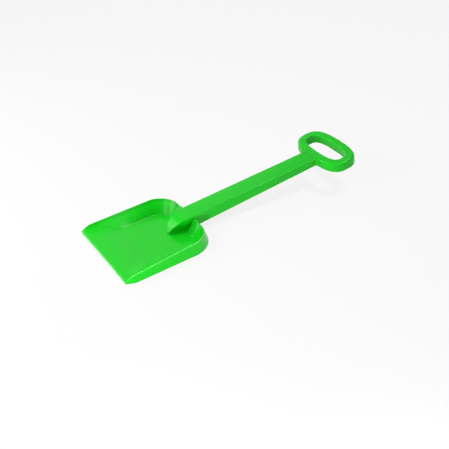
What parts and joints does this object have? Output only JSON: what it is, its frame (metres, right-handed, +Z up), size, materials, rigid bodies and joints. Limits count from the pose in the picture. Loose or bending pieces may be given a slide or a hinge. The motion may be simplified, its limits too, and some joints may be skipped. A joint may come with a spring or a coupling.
{
  "type": "kids snow shovel",
  "caption": "Small one-hand snow shovel for a child: square scoop blade with a folded rim, straight channel shaft rising from the blade's floor, and a closed loop grip.",
  "frame": {"origin": "on the ground below the middle of the shovel's box, with the blade lying flat", "axes": "+Y from the blade's front edge to the grip, +Z up from the blade's floor, +X to the right"},
  "size_m": [0.1674, 0.5022, 0.0687],
  "materials": {
    "blade_plastic": "smooth moulded, glossy",
    "shaft_plastic": "smooth moulded, glossy",
    "grip_plastic": "smooth moulded, slightly rubbed"
  },
  "bodies": {
    "root": {"scoop_blade": "blade_plastic", "shaft": "shaft_plastic", "loop_grip": "grip_plastic"}
  },
  "joints": []
}
